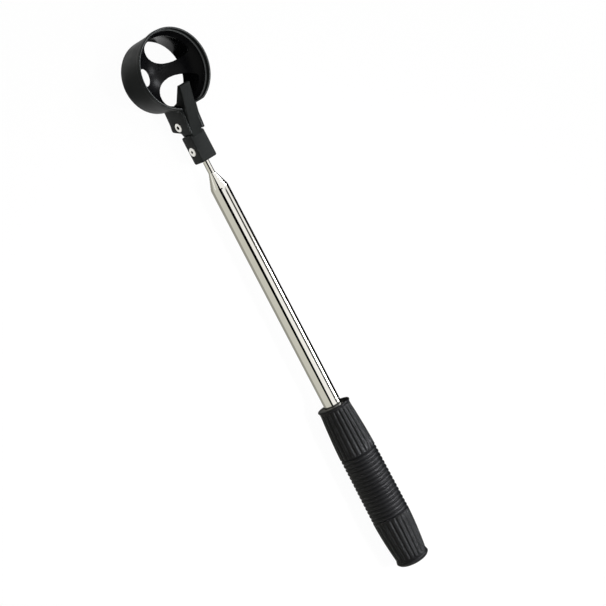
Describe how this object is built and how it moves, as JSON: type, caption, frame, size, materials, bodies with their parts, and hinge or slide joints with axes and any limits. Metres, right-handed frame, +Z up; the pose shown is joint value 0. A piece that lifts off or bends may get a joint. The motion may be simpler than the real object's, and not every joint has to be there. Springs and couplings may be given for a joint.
{
  "type": "golf ball retriever",
  "caption": "Telescopic golf ball retriever: ribbed rubber grip, nested stainless tubes and a riveted plastic yoke with a round hinged scoop that lifts a ball out of water.",
  "frame": {"origin": "on the floor, under the middle of the retriever's bounding box, as it lies pushed together on its cup and grip", "axes": "+Z up, +X along the length from the cup towards the grip's butt, +Y along the hinge rivet"},
  "size_m": [0.354, 0.0492, 0.0255],
  "materials": {
    "stainless_tube": "polished stainless steel",
    "rivet_steel": "bright nickel plate",
    "grip_rubber": "matt black",
    "cup_plastic": "satin black",
    "bush_nylon": "natural nylon"
  },
  "bodies": {
    "grip": {"grip_sleeve": "grip_rubber", "tube_section_1": "stainless_tube", "base_plug": "bush_nylon"},
    "section_2": {"tube_section_2": "stainless_tube", "friction_bush_2": "bush_nylon"},
    "section_3": {"tube_section_3": "stainless_tube", "friction_bush_3": "bush_nylon"},
    "section_4": {"tube_section_4": "stainless_tube", "friction_bush_4": "bush_nylon"},
    "section_5": {"tube_section_5": "stainless_tube", "friction_bush_5": "bush_nylon"},
    "section_6": {"tube_section_6": "stainless_tube", "friction_bush_6": "bush_nylon"},
    "section_7": {"tube_section_7": "stainless_tube", "friction_bush_7": "bush_nylon"},
    "section_8": {"tube_section_8": "stainless_tube", "friction_bush_8": "bush_nylon", "yoke_block": "cup_plastic", "block_rivet": "rivet_steel"},
    "scoop": {"cup": "cup_plastic", "hinge_rivet": "rivet_steel"}
  },
  "joints": [
    {"name": "section_2_slide", "type": "slide", "parent": "grip", "child": "section_2", "axis": [-0.9999, 0, -0.0134], "range_m": [0, 0.2386]},
    {"name": "section_3_slide", "type": "slide", "parent": "section_2", "child": "section_3", "axis": [-0.9999, 0, -0.0134], "range_m": [0, 0.2353]},
    {"name": "section_4_slide", "type": "slide", "parent": "section_3", "child": "section_4", "axis": [-0.9999, 0, -0.0134], "range_m": [0, 0.2319]},
    {"name": "section_5_slide", "type": "slide", "parent": "section_4", "child": "section_5", "axis": [-0.9999, 0, -0.0134], "range_m": [0, 0.2286]},
    {"name": "section_6_slide", "type": "slide", "parent": "section_5", "child": "section_6", "axis": [-0.9999, 0, -0.0134], "range_m": [0, 0.2252]},
    {"name": "section_7_slide", "type": "slide", "parent": "section_6", "child": "section_7", "axis": [-0.9999, 0, -0.0134], "range_m": [0, 0.2219]},
    {"name": "section_8_slide", "type": "slide", "parent": "section_7", "child": "section_8", "axis": [-0.9999, 0, -0.0134], "range_m": [0, 0.2186]},
    {"name": "cup_hinge", "type": "hinge", "parent": "section_8", "child": "scoop", "pos_m": [-0.12005, 0, 0.0079], "axis": [0, -1, 0], "range_deg": [0, 50]}
  ]
}
